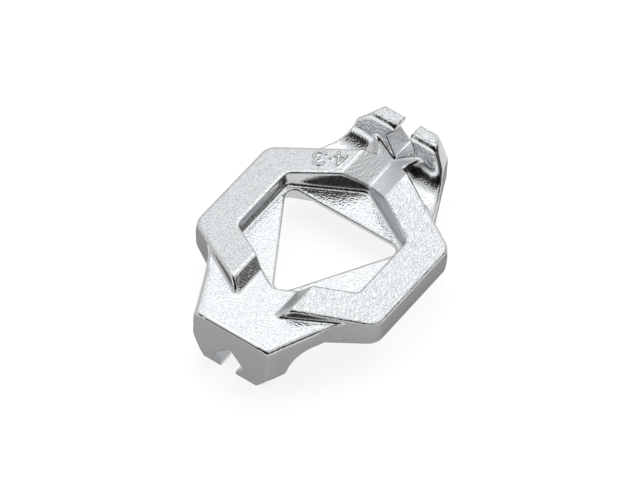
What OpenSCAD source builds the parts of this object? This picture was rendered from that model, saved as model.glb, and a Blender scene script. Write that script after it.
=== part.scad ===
// Double-ended spoke wrench: one chrome-plated steel casting.
// The origin is in the middle of the body, X runs along its length, Y across the flats
// of the ring, and Z up. The +X jaws open upwards and the -X jaws open downwards. Apart
// from the width of its slot, each end is the other one inverted through the origin.

/* [Overall] */
// Length over the two head ends
overall_l = 56; // [48:0.5:70]
// Width over the two flats of the ring, at the parting plane
ring_w = 40.2; // [36:0.2:48]
// Width over the slanted sides of the ring, at the parting plane
slant_w = 39.6; // [37:0.2:47]
// Distance of each jaw face from the parting plane
jaw_h = 8; // [7.4:0.1:10]

/* [Ring] */
// Thickness of the ring along its ridge, over the middle
ridge_t = 10.4; // [9:0.1:12]
// Thickness of the ring at its two flats
flat_t = 5.2; // [3.6:0.1:7]
// Width over the flats of the hexagonal pocket, at the web
pocket_w = 25.9; // [22:0.1:29]
// Radius of the outer corners of the ring, seen from above
ring_corner_r = 3; // [1:0.1:6]
// Radius of the corners of the pocket, seen from above
pocket_corner_r = 1.8; // [0.8:0.1:3]
// Draft of the cast walls, in degrees
draft = 3; // [0.5:0.5:6]

/* [Web] */
// Thickness of the web in the ring
web_t = 1.1; // [0.8:0.1:2.4]
// Radius of the corners of the three-sided window
window_corner_r = 1.7; // [0.8:0.1:2.5]
// Radius of the fillet between the web and the pocket wall
web_fillet_r = 0.5; // [0.2:0.1:1]

/* [Heads] */
// Width of a head at its end
head_end_w = 16; // [13.5:0.1:19]
// Angle at which each side of a head spreads towards the ring
head_spread = 24.5; // [18:0.5:30]
// Distance of the flat back of a head from the parting plane
head_back = 2.4; // [1.8:0.1:3]
// Distance of the floor behind the jaws from the parting plane
scoop_floor = 1.5; // [1:0.1:2]
// Radius of the scoop behind each jaw
scoop_r = 4.5; // [3.5:0.1:5]
// Length of each jaw along X at its face
jaw_l = 3; // [2.4:0.1:4]
// Lean of the inner jaw face, in degrees from upright
jaw_lean = 20.5; // [12:0.5:26]
// Width of the chamfer on each cheek
cheek_w = 1.9; // [1:0.1:2.6]
// Height of the chamfer on the -Y cheek of the +X head and on the +Y cheek of the -X head
tall_cheek_h = 4.2; // [2:0.1:5]
// Height of the chamfer on the other two cheeks
low_cheek_h = 2.6; // [1:0.1:5]
// Radius of the blend between head side and ring, seen from above
neck_r = 6; // [3:0.5:9]

/* [Nipple slots] */
// Width over the flats of the slot in the +X head
slot_a = 4.3; // [3.2:0.05:4.6]
// Width over the flats of the slot in the -X head
slot_b = 4.4; // [3.2:0.05:4.6]
// Gap between the jaws, which the spoke passes through
throat_w = 3.1; // [2.4:0.1:3.4]
// Distance of the middle of the slot below the jaw face
slot_drop = 2.5; // [2.2:0.05:2.9]

/* [Grooves] */
// Distance of the bottom of the spoke groove from the parting plane
groove_floor = 1.95; // [1.5:0.05:2.2]
// Rise of each side of the spoke groove, in degrees
groove_rise = 29.5; // [24:0.5:36]
// Width of the floor of the channel over the back of a head
channel_w = 8; // [5:0.1:11]
// Lean of the channel sides, in degrees from upright
channel_lean = 47; // [20:1:55]

/* [Hidden] */
round_fn = 96;
// Overrun of a cut past the surface it opens
cut = 1;
// Steps in an arc of an outline, and in the fillet of the web
arc_steps = 6;
fillet_steps = 4;
hex_sides = 6;
hex_turn = 360 / hex_sides;
half_turn = hex_turn / 2;

half_l = overall_l / 2;
half_web = web_t / 2;
half_ridge = ridge_t / 2;
half_flat = flat_t / 2;
flat_r = ring_w / 2;
slant_r = slant_w / 2;
pocket_r = pocket_w / 2;
// The window is inscribed in the pocket: its corners lie in every second corner
window_r = pocket_r / cos(half_turn) / 2;
gable_fall = (half_ridge - half_flat) / flat_r;
half_end = head_end_w / 2;

// Corner b of an outline a-b-c, rounded with radius r
function corner(a, b, c, r) =
    let (
        u = (a - b) / norm(a - b), v = (c - b) / norm(c - b),
        half = acos(u * v) / 2,
        mid = b + (u + v) / norm(u + v) * r / sin(half),
        from = b + u * r / tan(half), sweep = 180 - 2 * half,
        turn = sign(u[0] * v[1] - u[1] * v[0])
    )
    [for (i = [0 : arc_steps])
        let (t = -turn * sweep * i / arc_steps, d = from - mid)
        mid + [d[0] * cos(t) - d[1] * sin(t), d[0] * sin(t) + d[1] * cos(t)]];

// A closed outline with every corner rounded
function rounded(points, r) =
    let (n = len(points))
    [for (i = [0 : n - 1])
        each corner(points[(i + n - 1) % n], points[i], points[(i + 1) % n], r)];

// Six-sided outline from the distances of its flats and its slanted sides
function hexagon(flat, slant) =
    let (
        shoulder = (slant - flat * sin(half_turn)) / cos(half_turn),
        apex = slant / cos(half_turn)
    )
    [[shoulder, flat], [-shoulder, flat], [-apex, 0],
     [-shoulder, -flat], [shoulder, -flat], [apex, 0]];

// Three-sided outline whose sides are r from the middle, with its base towards +X
function triangle(r) = [for (i = [0 : 2]) let (t = hex_turn + 2 * hex_turn * i) 2 * r * [cos(t), sin(t)]];

// Solid whose outline is levels[i][1] at the height levels[i][0]
module skin(levels) {
    n = len(levels[0][1]);
    top = len(levels) - 1;
    points = [for (level = levels) for (p = level[1]) [p[0], p[1], level[0]]];
    sides = [for (k = [0 : top - 1]) for (i = [0 : n - 1])
        [k * n + i, (k + 1) * n + i, (k + 1) * n + (i + 1) % n, k * n + (i + 1) % n]];
    polyhedron(points, concat([[for (i = [0 : n - 1]) i]], sides,
        [[for (i = [n - 1 : -1 : 0]) top * n + i]]), convexity = 4);
}

// Extrudes a profile drawn in Y and Z along X, from x0 to x1
module along_x(x0, x1) {
    translate([x0, 0, 0]) rotate([90, 0, 90]) linear_extrude(height = x1 - x0) children();
}

// Extrudes a profile drawn in X and Z across the width, from y0 to y1
module along_y(y0, y1) {
    translate([0, y1, 0]) rotate([90, 0, 0]) linear_extrude(height = y1 - y0) children();
}

// Drafted hexagonal block, widest at the parting plane
module ring_block() {
    inset = half_ridge * tan(draft);
    rim = rounded(hexagon(flat_r - inset, slant_r - inset), ring_corner_r);
    skin([[-half_ridge, rim], [0, rounded(hexagon(flat_r, slant_r), ring_corner_r)],
          [half_ridge, rim]]);
}

// Pocket above the web: filleted at its floor, and wider towards its mouth
module pocket() {
    mouth = half_ridge + cut;
    wall_foot = half_web + web_fillet_r;
    growth = (mouth - wall_foot) * tan(draft);
    function at(r) = rounded(hexagon(r, r), pocket_corner_r);
    skin(concat(
        [for (i = [0 : fillet_steps])
            let (t = 90 * i / fillet_steps)
            [half_web + web_fillet_r * (1 - cos(t)), at(pocket_r - web_fillet_r * (1 - sin(t)))]],
        [[mouth, at(pocket_r + growth)]]));
}

// Window through the web, narrowest at the parting plane
module window() {
    growth = (half_web + cut) * tan(draft);
    wide = rounded(triangle(window_r + growth), window_corner_r);
    skin([[-half_web - cut, wide], [0, rounded(triangle(window_r), window_corner_r)],
          [half_web + cut, wide]]);
}

// X of the inner face of the +X jaws, which leans back from the jaw face
function jaw_face_x(z) = half_l - jaw_l - (jaw_h - z) * tan(jaw_lean);

// Everything on the ring side of the inner jaw faces, above a given height
module before_jaws(z0) {
    top = jaw_h + cut;
    along_y(-flat_r - cut, flat_r + cut)
        polygon([[-half_l - cut, z0], [jaw_face_x(z0), z0], [jaw_face_x(top), top],
                 [-half_l - cut, top]]);
}

// Space over the ring, down to two planes that fall from the ridge to the flats
module roof_cut() {
    y = flat_r + cut;
    intersection() {
        before_jaws(0);
        along_x(-half_l - cut, half_l + cut)
            polygon([[-y, half_ridge - gable_fall * y], [0, half_ridge],
                     [y, half_ridge - gable_fall * y], [y, jaw_h + 2 * cut], [-y, jaw_h + 2 * cut]]);
    }
}

// Spoke groove from the pocket through the ring to the jaws
module groove() {
    y = flat_r;
    intersection() {
        before_jaws(groove_floor);
        along_x(0, half_l)
            polygon([[0, groove_floor], [y, groove_floor + y * tan(groove_rise)],
                     [-y, groove_floor + y * tan(groove_rise)]]);
    }
}

// Channel over the back of the -X head, through the ring
module channel() {
    depth = half_ridge + cut - head_back;
    foot = channel_w / 2;
    mouth = foot + depth * tan(channel_lean);
    along_x(-half_l - cut, 0)
        polygon([[-foot, head_back], [foot, head_back], [mouth, head_back + depth],
                 [-mouth, head_back + depth]]);
}

// Outline of the +X head from above: it spreads towards the ring and blends into it
function head_outline() =
    let (
        slope = tan(head_spread),
        // The side meets the slanted side of the ring here
        y = (half_end + slope * (half_l - slant_r / cos(half_turn))) / (1 - slope * tan(half_turn)),
        meet = [slant_r / cos(half_turn) - y * tan(half_turn), y],
        tip = [half_l, half_end], shoulder = hexagon(flat_r, slant_r)[0],
        side = concat([tip], corner(tip, meet, shoulder, neck_r)),
        last = side[len(side) - 1]
    )
    concat(side, [[0, last[1]]], [[0, -last[1]]],
        [for (i = [len(side) - 1 : -1 : 0]) [side[i][0], -side[i][1]]]);

// Chamfer of height h on one cheek, along the slanting side of the head
module cheek_cut(h) {
    translate([half_l, half_end, jaw_h]) rotate([0, 0, 180 - head_spread]) along_x(-cheek_w, half_l)
        polygon([[0, -h], [cheek_w, 0], [cheek_w, cut], [-cut, cut], [-cut, -h]]);
}

// Scoop behind one jaw: round where it starts beside the groove, and open to the side
module scoop() {
    mid_z = scoop_floor + scoop_r;
    touch_z = mid_z - scoop_r * sin(jaw_lean);
    mid_x = jaw_face_x(touch_z) - scoop_r * cos(jaw_lean);
    // The round end just reaches the groove wall where that leaves the ring
    start_y = scoop_r + throat_w / 2;
    top = jaw_h + cut;
    far = flat_r + cut;
    translate([mid_x, start_y, mid_z]) rotate([-90, 0, 0]) rotate_extrude($fn = round_fn)
        intersection() {
            union() {
                circle(r = scoop_r, $fn = round_fn);
                square([scoop_r, far - start_y]);
            }
            translate([0, -scoop_r]) square([scoop_r, scoop_r + far - start_y]);
        }
    along_y(start_y, far)
        polygon([[0, scoop_floor], [mid_x, scoop_floor], [mid_x, mid_z],
                 [jaw_face_x(touch_z), touch_z], [jaw_face_x(top), top], [0, top]]);
}

// The +X head as cast, without its slot: scoops, and cheeks of heights cheeks[0] at +Y and
// cheeks[1] at -Y
module head_block(cheeks) {
    difference() {
        translate([0, 0, -head_back]) linear_extrude(height = head_back + jaw_h)
            polygon(head_outline());
        for (side = [0, 1]) mirror([0, side, 0]) {
            scoop();
            cheek_cut(cheeks[side]);
        }
    }
}

// Nipple slot on edge, open through the jaw faces: a square of width w and the throat
module slot(w) {
    mid_z = jaw_h - slot_drop;
    along_x(jaw_face_x(0), half_l + cut) {
        translate([0, mid_z]) rotate([0, 0, 45]) square([w, w], center = true);
        translate([-throat_w / 2, mid_z]) square([throat_w, slot_drop + cut]);
    }
}

// Turn about Y, heights of the +Y and -Y cheeks, and slot width of each head
heads = [[0, [low_cheek_h, tall_cheek_h], slot_a], [180, [tall_cheek_h, low_cheek_h], slot_b]];

module wrench_body() {
    color("silver") difference() {
        union() {
            ring_block();
            for (head = heads) rotate([0, head[0], 0]) head_block(head[1]);
        }
        for (head = heads) rotate([0, head[0], 0]) {
            roof_cut();
            groove();
            slot(head[2]);
            pocket();
            channel();
        }
        window();
    }
}

wrench_body();
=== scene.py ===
"""Looks of the spoke wrench: its cast and machined chrome skin, the size mark, a light tent and the
photograph's camera. Lengths are in millimetres where nothing else is said, and MM turns them into metres."""

import math

import bpy
import numpy as np
import openvdb as vdb
from mathutils import Matrix, Vector


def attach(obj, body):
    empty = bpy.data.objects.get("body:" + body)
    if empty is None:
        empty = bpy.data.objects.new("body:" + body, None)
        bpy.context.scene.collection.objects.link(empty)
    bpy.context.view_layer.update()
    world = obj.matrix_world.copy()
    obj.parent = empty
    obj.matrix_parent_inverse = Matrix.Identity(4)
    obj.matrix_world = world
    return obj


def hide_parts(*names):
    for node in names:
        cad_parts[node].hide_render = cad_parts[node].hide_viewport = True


MM = 0.001

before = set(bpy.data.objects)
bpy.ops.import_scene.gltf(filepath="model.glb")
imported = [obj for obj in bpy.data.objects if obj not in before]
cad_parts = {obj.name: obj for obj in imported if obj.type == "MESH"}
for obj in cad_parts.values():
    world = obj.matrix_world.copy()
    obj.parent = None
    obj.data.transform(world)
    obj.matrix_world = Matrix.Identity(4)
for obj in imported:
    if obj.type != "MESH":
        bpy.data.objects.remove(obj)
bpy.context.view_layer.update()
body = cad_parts["wrench_body"]
corners = np.array([v.co for v in body.data.vertices]) / MM

# The frame's body. Along is the distance from its middle towards a head, across is the distance from its
# long axis, and up is the height over the parting plane on the side to which that head's jaws open.
HALF_L, HALF_W, HALF_H = np.abs(corners).max(0)
RIDGE = 5.2  # up, the ridge of the ring
FALL = 0.1294  # slope of the ring's two upper faces
RING_SIDE = math.radians(30)  # direction that a slanted side of the ring faces
RING_SLANT = 19.8  # from the middle to a slanted side
HEAD_END = 8  # across, the side of a head at its end
HEAD_SPREAD = math.radians(24.5)  # turn of that side, outwards towards the ring
HEAD_BACK = 2.4  # depth of the flat back below the parting plane
GROOVE_FLOOR = 1.95  # up, the middle of the spoke groove
GROOVE_RISE = math.radians(29.5)  # rise of its two faces to the sides
SLOT_MIDDLE = 5.5  # up, the middle of the nipple slot
SLOT_CORNER = 3.07  # from there to a corner of the slot
THROAT = 1.55  # across, a wall of the gap between the jaws
JAW_EDGE = 25  # along, the inner edge of a jaw flat
CHANNEL_FOOT = 4  # across, a channel's wall at the flat back
CHANNEL_LEAN = math.radians(47)  # lean of that wall

# The skin
VOXEL = 0.16  # cell of the distance grid
BAND = 12  # cells of the grid on each side of the surface
CAST_ROUND = 0.21  # blur that rounds most edges
WORN_ROUND = 0.55  # blur at the edges that are rounded most
MACHINED_ROUND = 0.12  # blur at the edges that are cut
FILLET = 0.25  # blur that fills inner corners
HEAD_CUT = 26  # along, where a cell is put in to lengthen the head
TRIANGLES = 190000

# The size mark, raised on the slanted side of the ring by the +X head: its place from the middle of the
# wrench, the room for it in the grid, its fillet, its digits and its stroke
MARK_OUT = 16.7
MARK_ALONG = 0.1
MARK_MARGIN = 1
MARK_ROOM = 2
MARK_FILLET = 0.12
DIGIT_W = 2.2
DIGIT_H = 3.2
DIGIT_GAP = 0.75
STROKE_R = 0.25
ARC_POINTS = 9

# Zones of the rounding. A pair gives the place where a zone begins and the place from which it is full.
# A spread is in square millimetres, and a share says how much of the full rounding an edge gets.
MACHINED_ALONG = (22, 22.6)
MACHINED_ACROSS = (3.9, 3.3)
MACHINED_UP = (1.4, 2)
JAW_EDGE_ACROSS = (1.6, 1.8)
JAW_EDGE_SPREAD = 0.8
WALL_BEYOND = (-3, -2)
WALL_ALONG = (15, 17)
SCOOP_EDGE_UP = (0.3, 1)
BACK_ALONG = (17, 19)
BACK_UP = (-0.8, -1.4)
END_ALONG = (26, 27)
END_UP = (6.5, 5.5)
END_BACK_SHARE = 0.7
END_SIDE_SHARE = 0.5
CHANNEL_SPREAD = 1.4

# The grain: where it changes, its depth on some faces, and the share of it that is lost on others, of
# which the pebbled parts of a scoop get some back. A level is the upright part of a unit normal.
RING_TOP_GAP = 0.15
RING_TOP_OUT = 12.6
JAW_FLAT_GAP = 0.3
SCOOP_ALONG = (17, 18)
SCOOP_UP = (1.2, 1.4)
SCOOP_BELOW_JAW = (0.05, 0.4)
RIM_FROM_END = (1.2, 0.8)
STEEP_LEVEL = (0.6, 0.4)
SCOOP_FLOOR_LEVEL = (0.7, 0.84)
SCOOP_JAW_LEVEL = (0.44, 0.38)
ROUNDED_BY = (0.008, 0.03)
SANDY_DEPTH = 0.1
RING_DEPTH = 1.5
JAW_DEPTH = 2
SCOOP_LOSS = 0.85
SCOOP_PEBBLE = 0.5
STEEP_LOSS = 0.8
RIM_LOSS = 0.9
ROUNDED_LOSS = 0.65

# Finishes, in the order of the skin's materials, and how they find their faces. The satin grey is partly
# painted shade and the lined grey is partly painted light. A gap is a distance from a plane of the CAD, and
# a lean is a part of a face's unit normal.
CAST, LINED_AND_SHEEN, SATIN_AND_SHADE = range(3)
LINED_LEAN = 0.35
GROOVE_START = 12
GROOVE_GAP = 0.15
GROOVE_LEAN = 0.7
SLOT_START = 22
SLOT_GAP = 0.2
THROAT_GAP = 0.12
WALL_LEAN = 0.3
END_LEAN = 0.98
END_GAP = 0.08
SCOOP_WALL_UP = 1.6
SCOOP_WALL_ACROSS = 9
SCOOP_WALL_GAP = 0.3

# Chrome. A scale is the number of noise cells in a millimetre, and the cast chrome has its roughness
# without grain and with full grain.
CHROME_TINT = (0.98, 0.995, 1.01)
CAST_GREY = 0.6
CAST_ROUGHNESS = (0.14, 0.25)
WAVE_SCALE = 0.26
WAVE_HEIGHT = 0.03
GRAIN_LAYERS = [
    {"attribute": "sand", "scale": 3.8, "raised": (0.6, 0.75), "height": 0.05},
    {"attribute": "grain", "scale": 3.0, "raised": (0, 1), "height": 0.085},
]
# The lined grey is lighter than the cast grey. It is partly the cut finish and partly painted light, which
# brightens the slots and grooves.
LINED_AND_SHEEN_GREY = 0.72
LINED_ROUGHNESS = 0.36
LINE_SCALE = 5.2
LINE_STRETCH = 0.25
LINE_HEIGHT = 0.11
# The satin grey is darker than the cast grey. It is partly the satin finish and partly painted shade, for
# the shadowed floor that the walls and end faces reflect.
SATIN_AND_SHADE_GREY = 0.35
SATIN_EDGE_GREY = 0.5
SATIN_ROUGHNESS = 0.3
SATIN_SCALE = 3.0
SATIN_HEIGHT = 0.004
SATIN_STRENGTH = 0.5

# Floor, with its radius in metres, and the search for the tilt at which the wrench rests on it
FLOOR_RADIUS = 3
FLOOR_CORNERS = 96
FLOOR_GREY = 0.42
FLOOR_GLOW = 0.77
TILT_LIMIT = math.radians(15)
TILT_STEPS = 40

# Light tent: its light from just below the horizon to high up, its colour, and its patches. A patch has
# a direction, an inner and an outer radius in degrees, and the share of the tent's light there. The
# first is the dark opening round the camera, the next two are dark gaps, the fourth is a dim wall, and
# the last two are bright panels.
TENT_RISE = (-0.05, 0.65)
TENT_LIGHT = (0.62, 0.93)
TENT_COLOUR = (0.985, 0.995, 1, 1)
TENT_PATCHES = [
    ((-0.68, -0.02, 0.73), 25, 37.5, 0.01),
    ((-0.56, -0.62, 0.55), 18, 30, 0.03),
    ((0.12, -0.87, 0.47), 14, 26, 0.05),
    ((0.5, -0.84, 0.15), 24, 38, 0.26),
    ((-0.93, 0.36, 0.06), 12, 30, 2.15),
    ((0.43, 0.28, 0.855), 1, 27, 1.95),
]

# Softbox, with its place and size in metres and its power in watts
LAMP_PLACE = (0.52, 0.07, 0.45)
LAMP_SIZE = 0.6
LAMP_POWER = 0.25

# Camera, with its angles in degrees, as the photograph shows the wrench, and its far limit in metres
CAMERA_AZIMUTH = -147.86
CAMERA_ELEVATION = 49.84
CAMERA_ROLL = -3.93
CAMERA_DISTANCE = 1209.9
CAMERA_RIGHT = -0.26
CAMERA_UP = 0.81
CAMERA_LENS = 382.0
CAMERA_SENSOR = 36
CAMERA_LIMIT = 100


def smoothstep(low, high, value):
    """0 up to low and 1 from high on, with a smooth rise between them."""
    t = np.clip((value - low) / (high - low), 0, 1)
    return t * t * (3 - 2 * t)


def blur(field, sigma):
    """Gaussian blur of a grid along its three axes, sigma in grid cells."""
    reach = int(math.ceil(3 * sigma))
    taps = np.exp(-0.5 * (np.arange(-reach, reach + 1) / sigma) ** 2)
    taps = (taps / taps.sum()).astype(np.float32)
    for axis in range(3):
        field = sum(t * np.roll(field, i - reach, axis) for i, t in enumerate(taps))
    return field


def read_triples(items, name, kind=float):
    """A property with three numbers, of every vertex, triangle or polygon, one row each."""
    values = np.empty(len(items) * 3, kind)
    items.foreach_get(name, values)
    return values.reshape(-1, 3)


def head_place(x, y, z):
    """Along, across and up, by the nearer head."""
    side = np.sign(x)
    return x * side, np.abs(y), z * side


def slant_out(along, across):
    """Distance from the middle, in the direction of the nearest slanted side of the ring."""
    return along * math.cos(RING_SIDE) + across * math.sin(RING_SIDE)


def gable(y):
    """Height of the ring's upper face over the parting plane."""
    return RIDGE - FALL * np.abs(y)


def distance_grid(mesh):
    """Signed distance to a closed mesh, as an array and the grid index of its first cell."""
    mesh.calc_loop_triangles()
    points = read_triples(mesh.vertices, "co", np.float32) / MM
    triangles = read_triples(mesh.loop_triangles, "vertices", np.int32).astype(np.uint32)
    grid = vdb.FloatGrid.createLevelSetFromPolygons(
        points, triangles=triangles, transform=vdb.createLinearTransform(VOXEL), halfWidth=BAND)
    first = np.floor(points.min(0) / VOXEL).astype(int) - BAND
    last = np.ceil(points.max(0) / VOXEL).astype(int) + BAND
    field = np.empty(tuple(last - first + 1), np.float32)
    grid.copyToArray(field, ijk=tuple(int(i) for i in first))
    return field, first


def lengthen(field, first):
    """Moves both ends of the body out by one cell, so that they can be cut flat again after the rounding."""
    start = round(HEAD_CUT / VOXEL) - first[0]
    stop = round(-HEAD_CUT / VOXEL) - first[0]
    field[start + 1:] = field[start:-1].copy()
    field[:stop] = field[1:stop + 1].copy()
    return field


def jaw_edge(along, up):
    """1 at the inner edges of the jaw flats, falling to 0 about a millimetre away."""
    return np.exp(-((along - JAW_EDGE) ** 2 + (up - HALF_H) ** 2) / JAW_EDGE_SPREAD)


def machined_zone(x, y, z):
    """1 in and beside the slots, which are cut after casting, and 0 on the rest."""
    along, across, up = head_place(x, y, z)
    zone = smoothstep(*MACHINED_ALONG, along) * smoothstep(*MACHINED_ACROSS, across)
    zone = zone * smoothstep(*MACHINED_UP, up)
    return zone * (1 - jaw_edge(along, up) * smoothstep(*JAW_EDGE_ACROSS, across))


def worn_zone(x, y, z):
    """1 where the casting is rounded most: at the outer edges of the scoops on one side of each head, round
    the flat backs, at the jaw flats' inner edges and at the upright edges where a channel opens through the
    ring. Less at the upright edges of the end faces, and 0 on the rest."""
    along, across, up = head_place(x, y, z)
    beyond = across - HEAD_END - (HALF_L - along) * math.tan(HEAD_SPREAD)
    by_wall = smoothstep(*WALL_BEYOND, beyond) * smoothstep(*WALL_ALONG, along)
    by_end = smoothstep(*END_ALONG, along) * smoothstep(*END_UP, up)
    scooped = by_wall * smoothstep(*SCOOP_EDGE_UP, up) * (x * y < 0)
    backed = np.maximum(by_wall * smoothstep(*BACK_ALONG, along), END_BACK_SHARE * by_end)
    backed = backed * smoothstep(*BACK_UP, up)
    head = np.maximum(scooped, np.maximum(backed, END_SIDE_SHARE * by_wall * by_end))
    head = np.maximum(head, jaw_edge(along, up))
    wall = slant_out(along, across) - RING_SLANT
    channel = across - CHANNEL_FOOT + (up + HEAD_BACK) * math.tan(CHANNEL_LEAN)
    opening = np.exp(-(wall ** 2 + channel ** 2) / CHANNEL_SPREAD) * (up < 0)
    return np.maximum(head, opening)


def round_edges(field, x, y, z):
    """The grid of a body with filled inner corners and rounded edges."""
    filled = np.minimum(field, blur(field, FILLET / VOXEL))
    cast, worn, machined = [blur(filled, size / VOXEL) for size in (CAST_ROUND, WORN_ROUND, MACHINED_ROUND)]
    worn_share = worn_zone(x, y, z).astype(np.float32)
    machined_share = machined_zone(x, y, z).astype(np.float32)
    soft = cast * (1 - worn_share) + worn * worn_share
    return soft * (1 - machined_share) + machined * machined_share


def arc(centre, radius, start, end):
    """Points of an arc in the digit's own square, angles in degrees."""
    angles = np.radians(np.linspace(start, end, ARC_POINTS))
    return [(centre[0] + radius[0] * math.cos(a), centre[1] + radius[1] * math.sin(a)) for a in angles]


def mark_paths():
    """The strokes of 4, 3 and a middle dot, as (along the ring's side, towards the pocket). The digits have
    their shapes in a unit square, and the dot is a stroke too short to see as one."""
    four = [(0.66, 0), (0.66, 1), (0, 0.3), (1, 0.3)]
    three = arc((0.5, 0.75), (0.42, 0.25), 160, -80) + arc((0.5, 0.27), (0.5, 0.27), 80, -160)
    dot = [(0, 0), (0, 0.01)]
    strokes = []
    for shape, left in ((four, -DIGIT_GAP - DIGIT_W), (three, DIGIT_GAP)):
        strokes.append([(left + DIGIT_W * u, DIGIT_H * (v - 0.5)) for u, v in shape])
    return strokes + [dot]


def stroke_distance(x, y, z, path):
    """Distance to a path of straight pieces, less the stroke's radius."""
    best = np.inf
    for a, b in zip(path[:-1], path[1:]):
        step = b - a
        t = ((x - a[0]) * step[0] + (y - a[1]) * step[1] + (z - a[2]) * step[2]) / (step @ step)
        t = np.clip(t, 0, 1)
        gap = np.sqrt((x - a[0] - t * step[0]) ** 2 + (y - a[1] - t * step[1]) ** 2
                      + (z - a[2] - t * step[2]) ** 2)
        best = np.minimum(best, gap)
    return best - STROKE_R


def add_mark(field, first):
    """The grid with the size mark raised from the upper face of the ring, filleted at its foot."""
    field = field.copy()
    out = np.array([math.cos(RING_SIDE), math.sin(RING_SIDE)])
    along = np.array([-out[1], out[0]])
    reach = DIGIT_W + DIGIT_GAP + 2 * STROKE_R + MARK_MARGIN
    middle = MARK_OUT * out + MARK_ALONG * along
    centre = np.array([middle[0], middle[1], gable(middle[1])])
    room = np.array([reach, reach, MARK_ROOM])
    start = np.floor((centre - room) / VOXEL).astype(int) - first
    stop = np.ceil((centre + room) / VOXEL).astype(int) - first
    part = tuple(slice(a, b) for a, b in zip(start, stop))
    axes = [(np.arange(a, b) + f) * VOXEL for a, b, f in zip(start, stop, first)]
    x, y, z = np.meshgrid(*axes, indexing="ij")
    for path in mark_paths():
        points = []
        for u, v in path:
            p = middle + u * along - v * out
            points.append(np.array([p[0], p[1], gable(p[1])]))
        gap = stroke_distance(x, y, z, points)
        share = np.clip(0.5 + 0.5 * (field[part] - gap) / MARK_FILLET, 0, 1)
        field[part] = field[part] * (1 - share) + gap * share - MARK_FILLET * share * (1 - share)
    return field


def surface_mesh(field, first):
    """Mesh of the surface in a distance grid, kept inside the CAD box."""
    grid = vdb.FloatGrid(float(field.max()))
    grid.copyFromArray(field, ijk=tuple(int(i) for i in first))
    grid.transform = vdb.createLinearTransform(VOXEL)
    grid.gridClass = vdb.GridClass.LEVEL_SET
    points, quads = grid.convertToQuads(0.0)
    limit = np.array([HALF_L, HALF_W, HALF_H])
    points = np.clip(points, -limit, limit) * MM
    mesh = bpy.data.meshes.new("skin")
    mesh.from_pydata(points.tolist(), [], quads[:, ::-1].tolist())
    return mesh


def thin_out(piece):
    """Brings a piece of quads down to TRIANGLES triangles, and shades it smooth."""
    thin = piece.modifiers.new("thin", "DECIMATE")
    thin.ratio = min(1.0, TRIANGLES / (2 * len(piece.data.polygons)))
    graph = bpy.context.evaluated_depsgraph_get()
    final = bpy.data.meshes.new_from_object(piece.evaluated_get(graph))
    piece.modifiers.clear()
    piece.data = final
    final.polygons.foreach_set("use_smooth", [True] * len(final.polygons))


def set_grain(mesh, relief, first):
    """Depth of the cast surface, as two point attributes. The grain is pebbles: full on the web, deeper on
    the ring's faces and the jaw flats, and shallow in the scoops, on steep walls, at the ends of the backs
    and where the casting is rounded. The sand is fine bright points, on those faces of the ring that have
    almost no pebbles: above at +Y and below at -Y."""
    place = read_triples(mesh.vertices, "co")
    level = np.abs(read_triples(mesh.vertices, "normal")[:, 2])
    x, y, z = place.T / MM
    along, across, up = head_place(x, y, z)
    out = np.maximum(across, slant_out(along, across))
    ring_top = (np.abs(np.abs(z) - gable(y)) < RING_TOP_GAP) & (out > RING_TOP_OUT)
    sandy = ring_top & (y * z > 0)
    depth = np.where(sandy, SANDY_DEPTH, 1) * np.where(ring_top & ~sandy, RING_DEPTH, 1)
    depth = depth * np.where(up > HALF_H - JAW_FLAT_GAP, JAW_DEPTH, 1)

    scooped = smoothstep(*SCOOP_ALONG, along) * smoothstep(*SCOOP_UP, up)
    scooped = scooped * smoothstep(*SCOOP_BELOW_JAW, HALF_H - up)
    pebbled = np.maximum(smoothstep(*SCOOP_FLOOR_LEVEL, level), smoothstep(*SCOOP_JAW_LEVEL, level))
    steep = smoothstep(*STEEP_LEVEL, level) * (1 - scooped)
    rim = smoothstep(*RIM_FROM_END, HALF_L - along) * (up < 0)
    depth = depth * (1 - (SCOOP_LOSS - SCOOP_PEBBLE * pebbled) * scooped)
    depth = depth * (1 - STEEP_LOSS * steep) * (1 - RIM_LOSS * rim)

    cell = np.rint(place / MM / VOXEL).astype(int) - first
    rounding = np.abs(relief[cell[:, 0], cell[:, 1], cell[:, 2]])
    kept = 1 - ROUNDED_LOSS * smoothstep(*ROUNDED_BY, rounding)
    for name, value in (("grain", depth * kept), ("sand", sandy * kept)):
        layer = mesh.attributes.new(name, "FLOAT", "POINT")
        layer.data.foreach_set("value", value.astype(np.float32))


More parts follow.
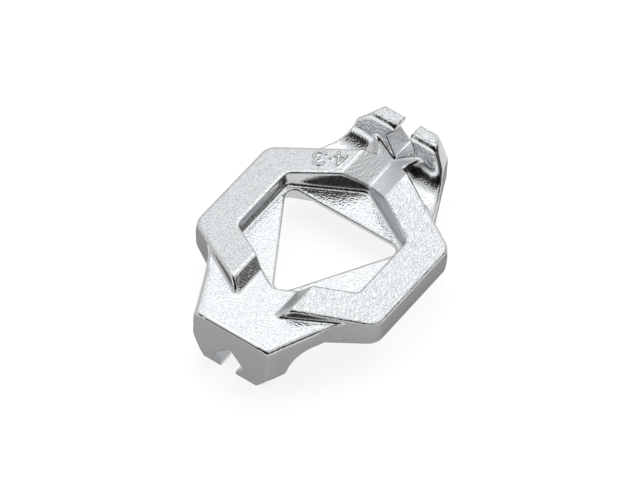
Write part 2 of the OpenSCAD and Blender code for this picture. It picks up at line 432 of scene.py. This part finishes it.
def pick_finish_and_painted_light(mesh):
    """Lined finish in the slots and spoke grooves, satin finish on the outer walls and end faces, and cast
    finish on the rest, also on the ring's walls behind the scoops. The satin material's darker grey is
    partly painted shade, and the lined material's lighter grey is partly painted light."""
    centre = read_triples(mesh.polygons, "center") / MM
    normal = read_triples(mesh.polygons, "normal")
    lean = np.abs(normal)
    along, across, up = head_place(*centre.T)
    lengthwise = lean[:, 0] < LINED_LEAN
    rise = up - GROOVE_FLOOR - across * math.tan(GROOVE_RISE)
    groove = lengthwise & (along > GROOVE_START) & (np.abs(rise) < GROOVE_GAP)
    groove = groove & (normal[:, 2] * np.sign(centre[:, 0]) > GROOVE_LEAN)
    on_slot = np.abs(across + np.abs(up - SLOT_MIDDLE) - SLOT_CORNER) < SLOT_GAP
    on_throat = np.abs(across - THROAT) < THROAT_GAP
    slot = lengthwise & (along > SLOT_START) & (up > GROOVE_FLOOR) & (up < HALF_H - SLOT_GAP)
    slot = slot & (on_slot | on_throat)
    outward = centre[:, 0] * normal[:, 0] + centre[:, 1] * normal[:, 1] > 0
    behind_scoop = (up > SCOOP_WALL_UP) & (across < SCOOP_WALL_ACROSS)
    behind_scoop = behind_scoop & (slant_out(along, across) < RING_SLANT + SCOOP_WALL_GAP)
    wall = outward & (lean[:, 2] < WALL_LEAN) & (lean[:, 0] < END_LEAN) & ~behind_scoop
    end = along > HALF_L - END_GAP
    index = np.full(len(mesh.polygons), CAST, np.int32)
    # Walls and end faces get the satin material, whose darker grey is partly painted shade.
    index[wall | end] = SATIN_AND_SHADE
    # Grooves and slots get the lined material, whose lighter grey is partly painted light.
    index[groove | slot] = LINED_AND_SHEEN
    mesh.polygons.foreach_set("material_index", index)


def make_skin(cad):
    """The visible surface: the CAD body with rounded edges, the size mark and flat ends."""
    field, first = distance_grid(cad.data)
    field = lengthen(field, first)
    axes = [(np.arange(n) + f) * VOXEL for n, f in zip(field.shape, first)]
    x, y, z = axes[0][:, None, None], axes[1][None, :, None], axes[2][None, None, :]
    soft = round_edges(field, x, y, z)
    relief = soft - field
    cut = np.maximum(add_mark(soft, first), np.abs(x) - HALF_L).astype(np.float32)
    skin = bpy.data.objects.new("wrench_skin", surface_mesh(cut, first))
    bpy.context.scene.collection.objects.link(skin)
    thin_out(skin)
    set_grain(skin.data, relief, first)
    # The lined and satin materials carry painted light and painted shade in their greys.
    for skin_material in (cast_chrome(), lined_and_sheen_chrome(), satin_and_shade_chrome()):
        skin.data.materials.append(skin_material)
    pick_finish_and_painted_light(skin.data)
    return skin


def add_node(tree, kind, inputs, **settings):
    """A new shader node. Each of its inputs is a number, a vector, a colour or another node's output."""
    node = tree.nodes.new(kind)
    for name, value in settings.items():
        setattr(node, name, value)
    for socket, value in inputs.items():
        if isinstance(value, bpy.types.NodeSocket):
            tree.links.new(value, node.inputs[socket])
        else:
            node.inputs[socket].default_value = value
    return node


def calculate(tree, operation, first, second, clamp=False):
    """Result of a sum or product of two values."""
    node = add_node(tree, "ShaderNodeMath", {0: first, 1: second}, operation=operation, use_clamp=clamp)
    return node.outputs["Value"]


def remap(tree, value, source, target, curve="LINEAR"):
    """Moves a value from one range to another, and stops it at the ends of that range."""
    inputs = {"Value": value, "From Min": source[0], "From Max": source[1],
              "To Min": target[0], "To Max": target[1]}
    return add_node(tree, "ShaderNodeMapRange", inputs, interpolation_type=curve).outputs["Result"]


def noise(tree, place, scale, detail):
    """Noise between about 0 and 1, with its scale in cells for each millimetre."""
    inputs = {"Vector": place, "Scale": scale / MM, "Detail": detail}
    return add_node(tree, "ShaderNodeTexNoise", inputs).outputs["Fac"]


def bump(tree, relief, height, strength=1, below=None):
    """Normal of a raised surface, on top of another such surface where one is given."""
    inputs = {"Height": relief, "Distance": height * MM, "Strength": strength}
    if below is not None:
        inputs["Normal"] = below
    return add_node(tree, "ShaderNodeBump", inputs).outputs["Normal"]


def new_chrome(name, grey, roughness):
    """A chrome material, its node tree, its shader and the place on the object that its textures use."""
    material = bpy.data.materials.new(name)
    material.use_nodes = True
    tree = material.node_tree
    shader = tree.nodes["Principled BSDF"]
    shader.inputs["Base Color"].default_value = [tint * grey for tint in CHROME_TINT] + [1]
    shader.inputs["Roughness"].default_value = roughness
    shader.inputs["Metallic"].default_value = 1
    place = add_node(tree, "ShaderNodeTexCoord", {}).outputs["Object"]
    return material, tree, shader, place


def cast_chrome():
    """Bright chrome over a casting with soft waves, sand and pebbles, and duller where the pebbles are."""
    material, tree, shader, place = new_chrome("cast_chrome", CAST_GREY, CAST_ROUGHNESS[0])
    surface = bump(tree, noise(tree, place, WAVE_SCALE, detail=1), WAVE_HEIGHT)
    depth = {}
    for layer in GRAIN_LAYERS:
        name = layer["attribute"]
        depth[name] = add_node(tree, "ShaderNodeAttribute", {}, attribute_name=name).outputs["Fac"]
        raised = remap(tree, noise(tree, place, layer["scale"], detail=0), layer["raised"], (0, 1))
        relief = calculate(tree, "MULTIPLY", raised, depth[name])
        surface = bump(tree, relief, layer["height"], below=surface)
    tree.links.new(surface, shader.inputs["Normal"])
    tree.links.new(remap(tree, depth["grain"], (0, 1), CAST_ROUGHNESS), shader.inputs["Roughness"])
    return material


def lined_and_sheen_chrome():
    """Chrome in the slots and grooves, with fine lines along the wrench. Its grey is lighter than the cast
    chrome's: partly the cut finish and partly painted light, which brightens these faces.
    """
    material, tree, shader, place = new_chrome("lined_and_sheen_chrome", LINED_AND_SHEEN_GREY, LINED_ROUGHNESS)
    stretch = add_node(tree, "ShaderNodeMapping", {"Vector": place, "Scale": (LINE_STRETCH, 1, 1)})
    lines = noise(tree, stretch.outputs["Vector"], LINE_SCALE, detail=1)
    tree.links.new(bump(tree, lines, LINE_HEIGHT), shader.inputs["Normal"])
    return material


def satin_and_shade_chrome():
    """Satin chrome on the outer walls and the two end faces. Its grey is darker than the cast chrome's:
    partly the satin finish and partly painted shade, which stands in for the shadowed floor that these walls
    reflect.
    """
    material, tree, shader, place = new_chrome("satin_and_shade_chrome", SATIN_AND_SHADE_GREY, SATIN_ROUGHNESS)
    shader.inputs["Specular Tint"].default_value = [SATIN_EDGE_GREY] * 3 + [1]
    satin = noise(tree, place, SATIN_SCALE, detail=2)
    tree.links.new(bump(tree, satin, SATIN_HEIGHT, SATIN_STRENGTH), shader.inputs["Normal"])
    return material


def resting_tilt(points):
    """Turn about Y at which the lowest points of both heads are level, and the height of those points."""
    low, high = -TILT_LIMIT, TILT_LIMIT
    for _ in range(TILT_STEPS):
        tilt = (low + high) / 2
        z = points[:, 0] * math.sin(tilt) + points[:, 2] * math.cos(tilt)
        if z[points[:, 0] < 0].min() > z[points[:, 0] > 0].min():
            low = tilt
        else:
            high = tilt
    return tilt, z.min()


def paper():
    """Pale paper, which the camera and the chrome see nearly white, with the wrench's shadow on it."""
    material = bpy.data.materials.new("floor_paper")
    material.use_nodes = True
    tree = material.node_tree
    path = add_node(tree, "ShaderNodeLightPath", {})
    seen = path.outputs["Is Camera Ray"]
    for ray in ("Is Glossy Ray", "Is Transmission Ray"):
        seen = calculate(tree, "ADD", seen, path.outputs[ray], clamp=True)
    strength = calculate(tree, "MULTIPLY", seen, FLOOR_GLOW)
    matt = add_node(tree, "ShaderNodeBsdfDiffuse", {"Color": [FLOOR_GREY] * 3 + [1]})
    glow = add_node(tree, "ShaderNodeEmission", {"Strength": strength})
    both = add_node(tree, "ShaderNodeAddShader", {0: matt.outputs["BSDF"], 1: glow.outputs["Emission"]})
    tree.links.new(both.outputs["Shader"], tree.nodes["Material Output"].inputs["Surface"])
    return material


def make_floor(points):
    """A floor on which the wrench rests, tilted because the frame has the wrench level."""
    tilt, drop = resting_tilt(points)
    bpy.ops.mesh.primitive_circle_add(vertices=FLOOR_CORNERS, radius=FLOOR_RADIUS, fill_type="NGON")
    floor = bpy.context.object
    floor.name = "floor"
    floor.matrix_world = Matrix.Rotation(tilt, 4, "Y") @ Matrix.Translation((0, 0, drop))
    floor.data.materials.append(paper())


def make_tent():
    """A white light tent, dimmer towards the floor, with its dark, dim and bright patches."""
    world = bpy.data.worlds.new("tent")
    bpy.context.scene.world = world
    world.use_nodes = True
    tree = world.node_tree
    seen_at = add_node(tree, "ShaderNodeTexCoord", {}).outputs["Generated"]

    def nearness(direction):
        """1 in a direction, falling to -1 opposite."""
        inputs = {0: seen_at, 1: direction}
        return add_node(tree, "ShaderNodeVectorMath", inputs, operation="DOT_PRODUCT").outputs["Value"]

    strength = remap(tree, nearness((0, 0, 1)), TENT_RISE, TENT_LIGHT, "SMOOTHSTEP")
    for direction, inner, outer, share in TENT_PATCHES:
        edge = [math.cos(math.radians(angle)) for angle in (outer, inner)]
        patch = remap(tree, nearness(Vector(direction).normalized()), edge, (1, share), "SMOOTHSTEP")
        strength = calculate(tree, "MULTIPLY", strength, patch)
    back = tree.nodes["Background"]
    tree.links.new(strength, back.inputs["Strength"])
    back.inputs["Color"].default_value = TENT_COLOUR


def make_lamp():
    """A large soft lamp that points at the wrench."""
    data = bpy.data.lights.new("softbox", "AREA")
    data.shape = "SQUARE"
    data.size = LAMP_SIZE
    data.energy = LAMP_POWER
    lamp = bpy.data.objects.new("softbox", data)
    bpy.context.scene.collection.objects.link(lamp)
    place = Vector(LAMP_PLACE)
    lamp.location = place
    lamp.rotation_euler = place.to_track_quat("Z", "Y").to_euler()


def camera_axes():
    """The camera's right, up and backward directions."""
    azimuth, elevation, roll = map(math.radians, (CAMERA_AZIMUTH, CAMERA_ELEVATION, CAMERA_ROLL))
    back = Vector((math.cos(elevation) * math.cos(azimuth), math.cos(elevation) * math.sin(azimuth),
                   math.sin(elevation)))
    level = Vector((-math.sin(azimuth), math.cos(azimuth), 0))
    over = back.cross(level)
    right = level * math.cos(roll) - over * math.sin(roll)
    up = level * math.sin(roll) + over * math.cos(roll)
    return right, up, back


def make_camera():
    """The photograph's camera."""
    right, up, back = camera_axes()
    data = bpy.data.cameras.new("camera")
    data.sensor_width = CAMERA_SENSOR
    data.lens = CAMERA_LENS
    data.clip_end = CAMERA_LIMIT
    camera = bpy.data.objects.new("camera", data)
    bpy.context.scene.collection.objects.link(camera)
    place = (back * CAMERA_DISTANCE + right * CAMERA_RIGHT + up * CAMERA_UP) * MM
    camera.matrix_world = Matrix.Translation(place) @ Matrix((right, up, back)).transposed().to_4x4()
    bpy.context.scene.camera = camera


skin = make_skin(body)
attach(skin, "root")
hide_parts("wrench_body")

make_floor(corners * MM)
make_tent()
make_lamp()
make_camera()
bpy.context.scene.view_settings.view_transform = "Standard"
